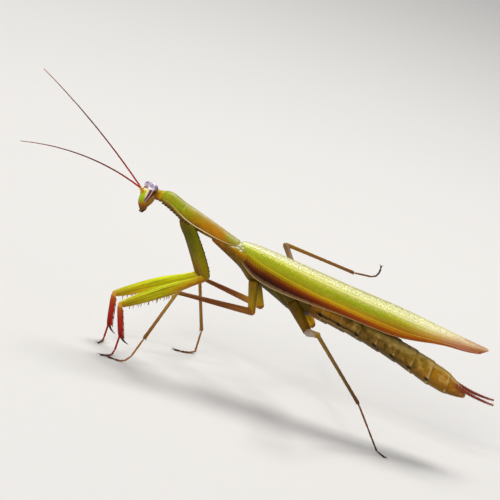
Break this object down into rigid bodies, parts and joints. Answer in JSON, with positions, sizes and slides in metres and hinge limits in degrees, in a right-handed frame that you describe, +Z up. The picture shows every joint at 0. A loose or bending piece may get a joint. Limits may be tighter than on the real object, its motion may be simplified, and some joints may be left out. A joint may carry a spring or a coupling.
{
  "type": "praying mantis",
  "caption": "Still life-size praying mantis: wings folded over the back, the spined fore legs reaching forward and down, one hind leg raised.",
  "frame": {"origin": "centre of the bounding box in plan, on the surface the feet stand on", "axes": "+X points from the head to the tip of the abdomen, +Z is up, and the mantis's left side is at -Y"},
  "size_m": [0.1056, 0.0536, 0.0497],
  "materials": {
    "leaf_green": "satin shell, green shading to yellow and orange",
    "olive": "satin shell with darker mottling",
    "amber": "satin shell",
    "chestnut": "satin shell",
    "crimson": "glossy shell",
    "dark_brown": "satin shell",
    "eye": "glossy, lilac with dark brown stripes",
    "wing_green": "glossy leathery wing with raised veins",
    "smoky": "thin smoky wing"
  },
  "bodies": {
    "root": {"head": "leaf_green", "eye_left": "eye", "eye_right": "eye", "antenna_left": "chestnut", "antenna_right": "chestnut", "mouthparts": "chestnut", "neck": "amber", "prothorax": "leaf_green", "mesothorax": "olive", "metathorax": "olive", "forewing_left": "wing_green", "forewing_right": "wing_green", "hindwing_left": "smoky", "hindwing_right": "smoky", "abdomen": "olive", "cercus_left": "dark_brown", "cercus_right": "dark_brown", "fore_left_coxa": "leaf_green", "fore_left_femur": "leaf_green", "fore_left_tibia": "crimson", "fore_left_tarsus": "chestnut", "fore_right_coxa": "leaf_green", "fore_right_femur": "leaf_green", "fore_right_tibia": "crimson", "fore_right_tarsus": "chestnut", "mid_left_coxa": "olive", "mid_left_femur": "chestnut", "mid_left_tibia": "amber", "mid_left_tarsus": "chestnut", "mid_right_coxa": "olive", "mid_right_femur": "chestnut", "mid_right_tibia": "amber", "mid_right_tarsus": "chestnut", "hind_left_coxa": "olive", "hind_left_femur": "chestnut", "hind_left_tibia": "amber", "hind_left_tarsus": "chestnut", "hind_right_coxa": "olive", "hind_right_femur": "chestnut", "hind_right_tibia": "amber", "hind_right_tarsus": "chestnut"}
  },
  "joints": []
}
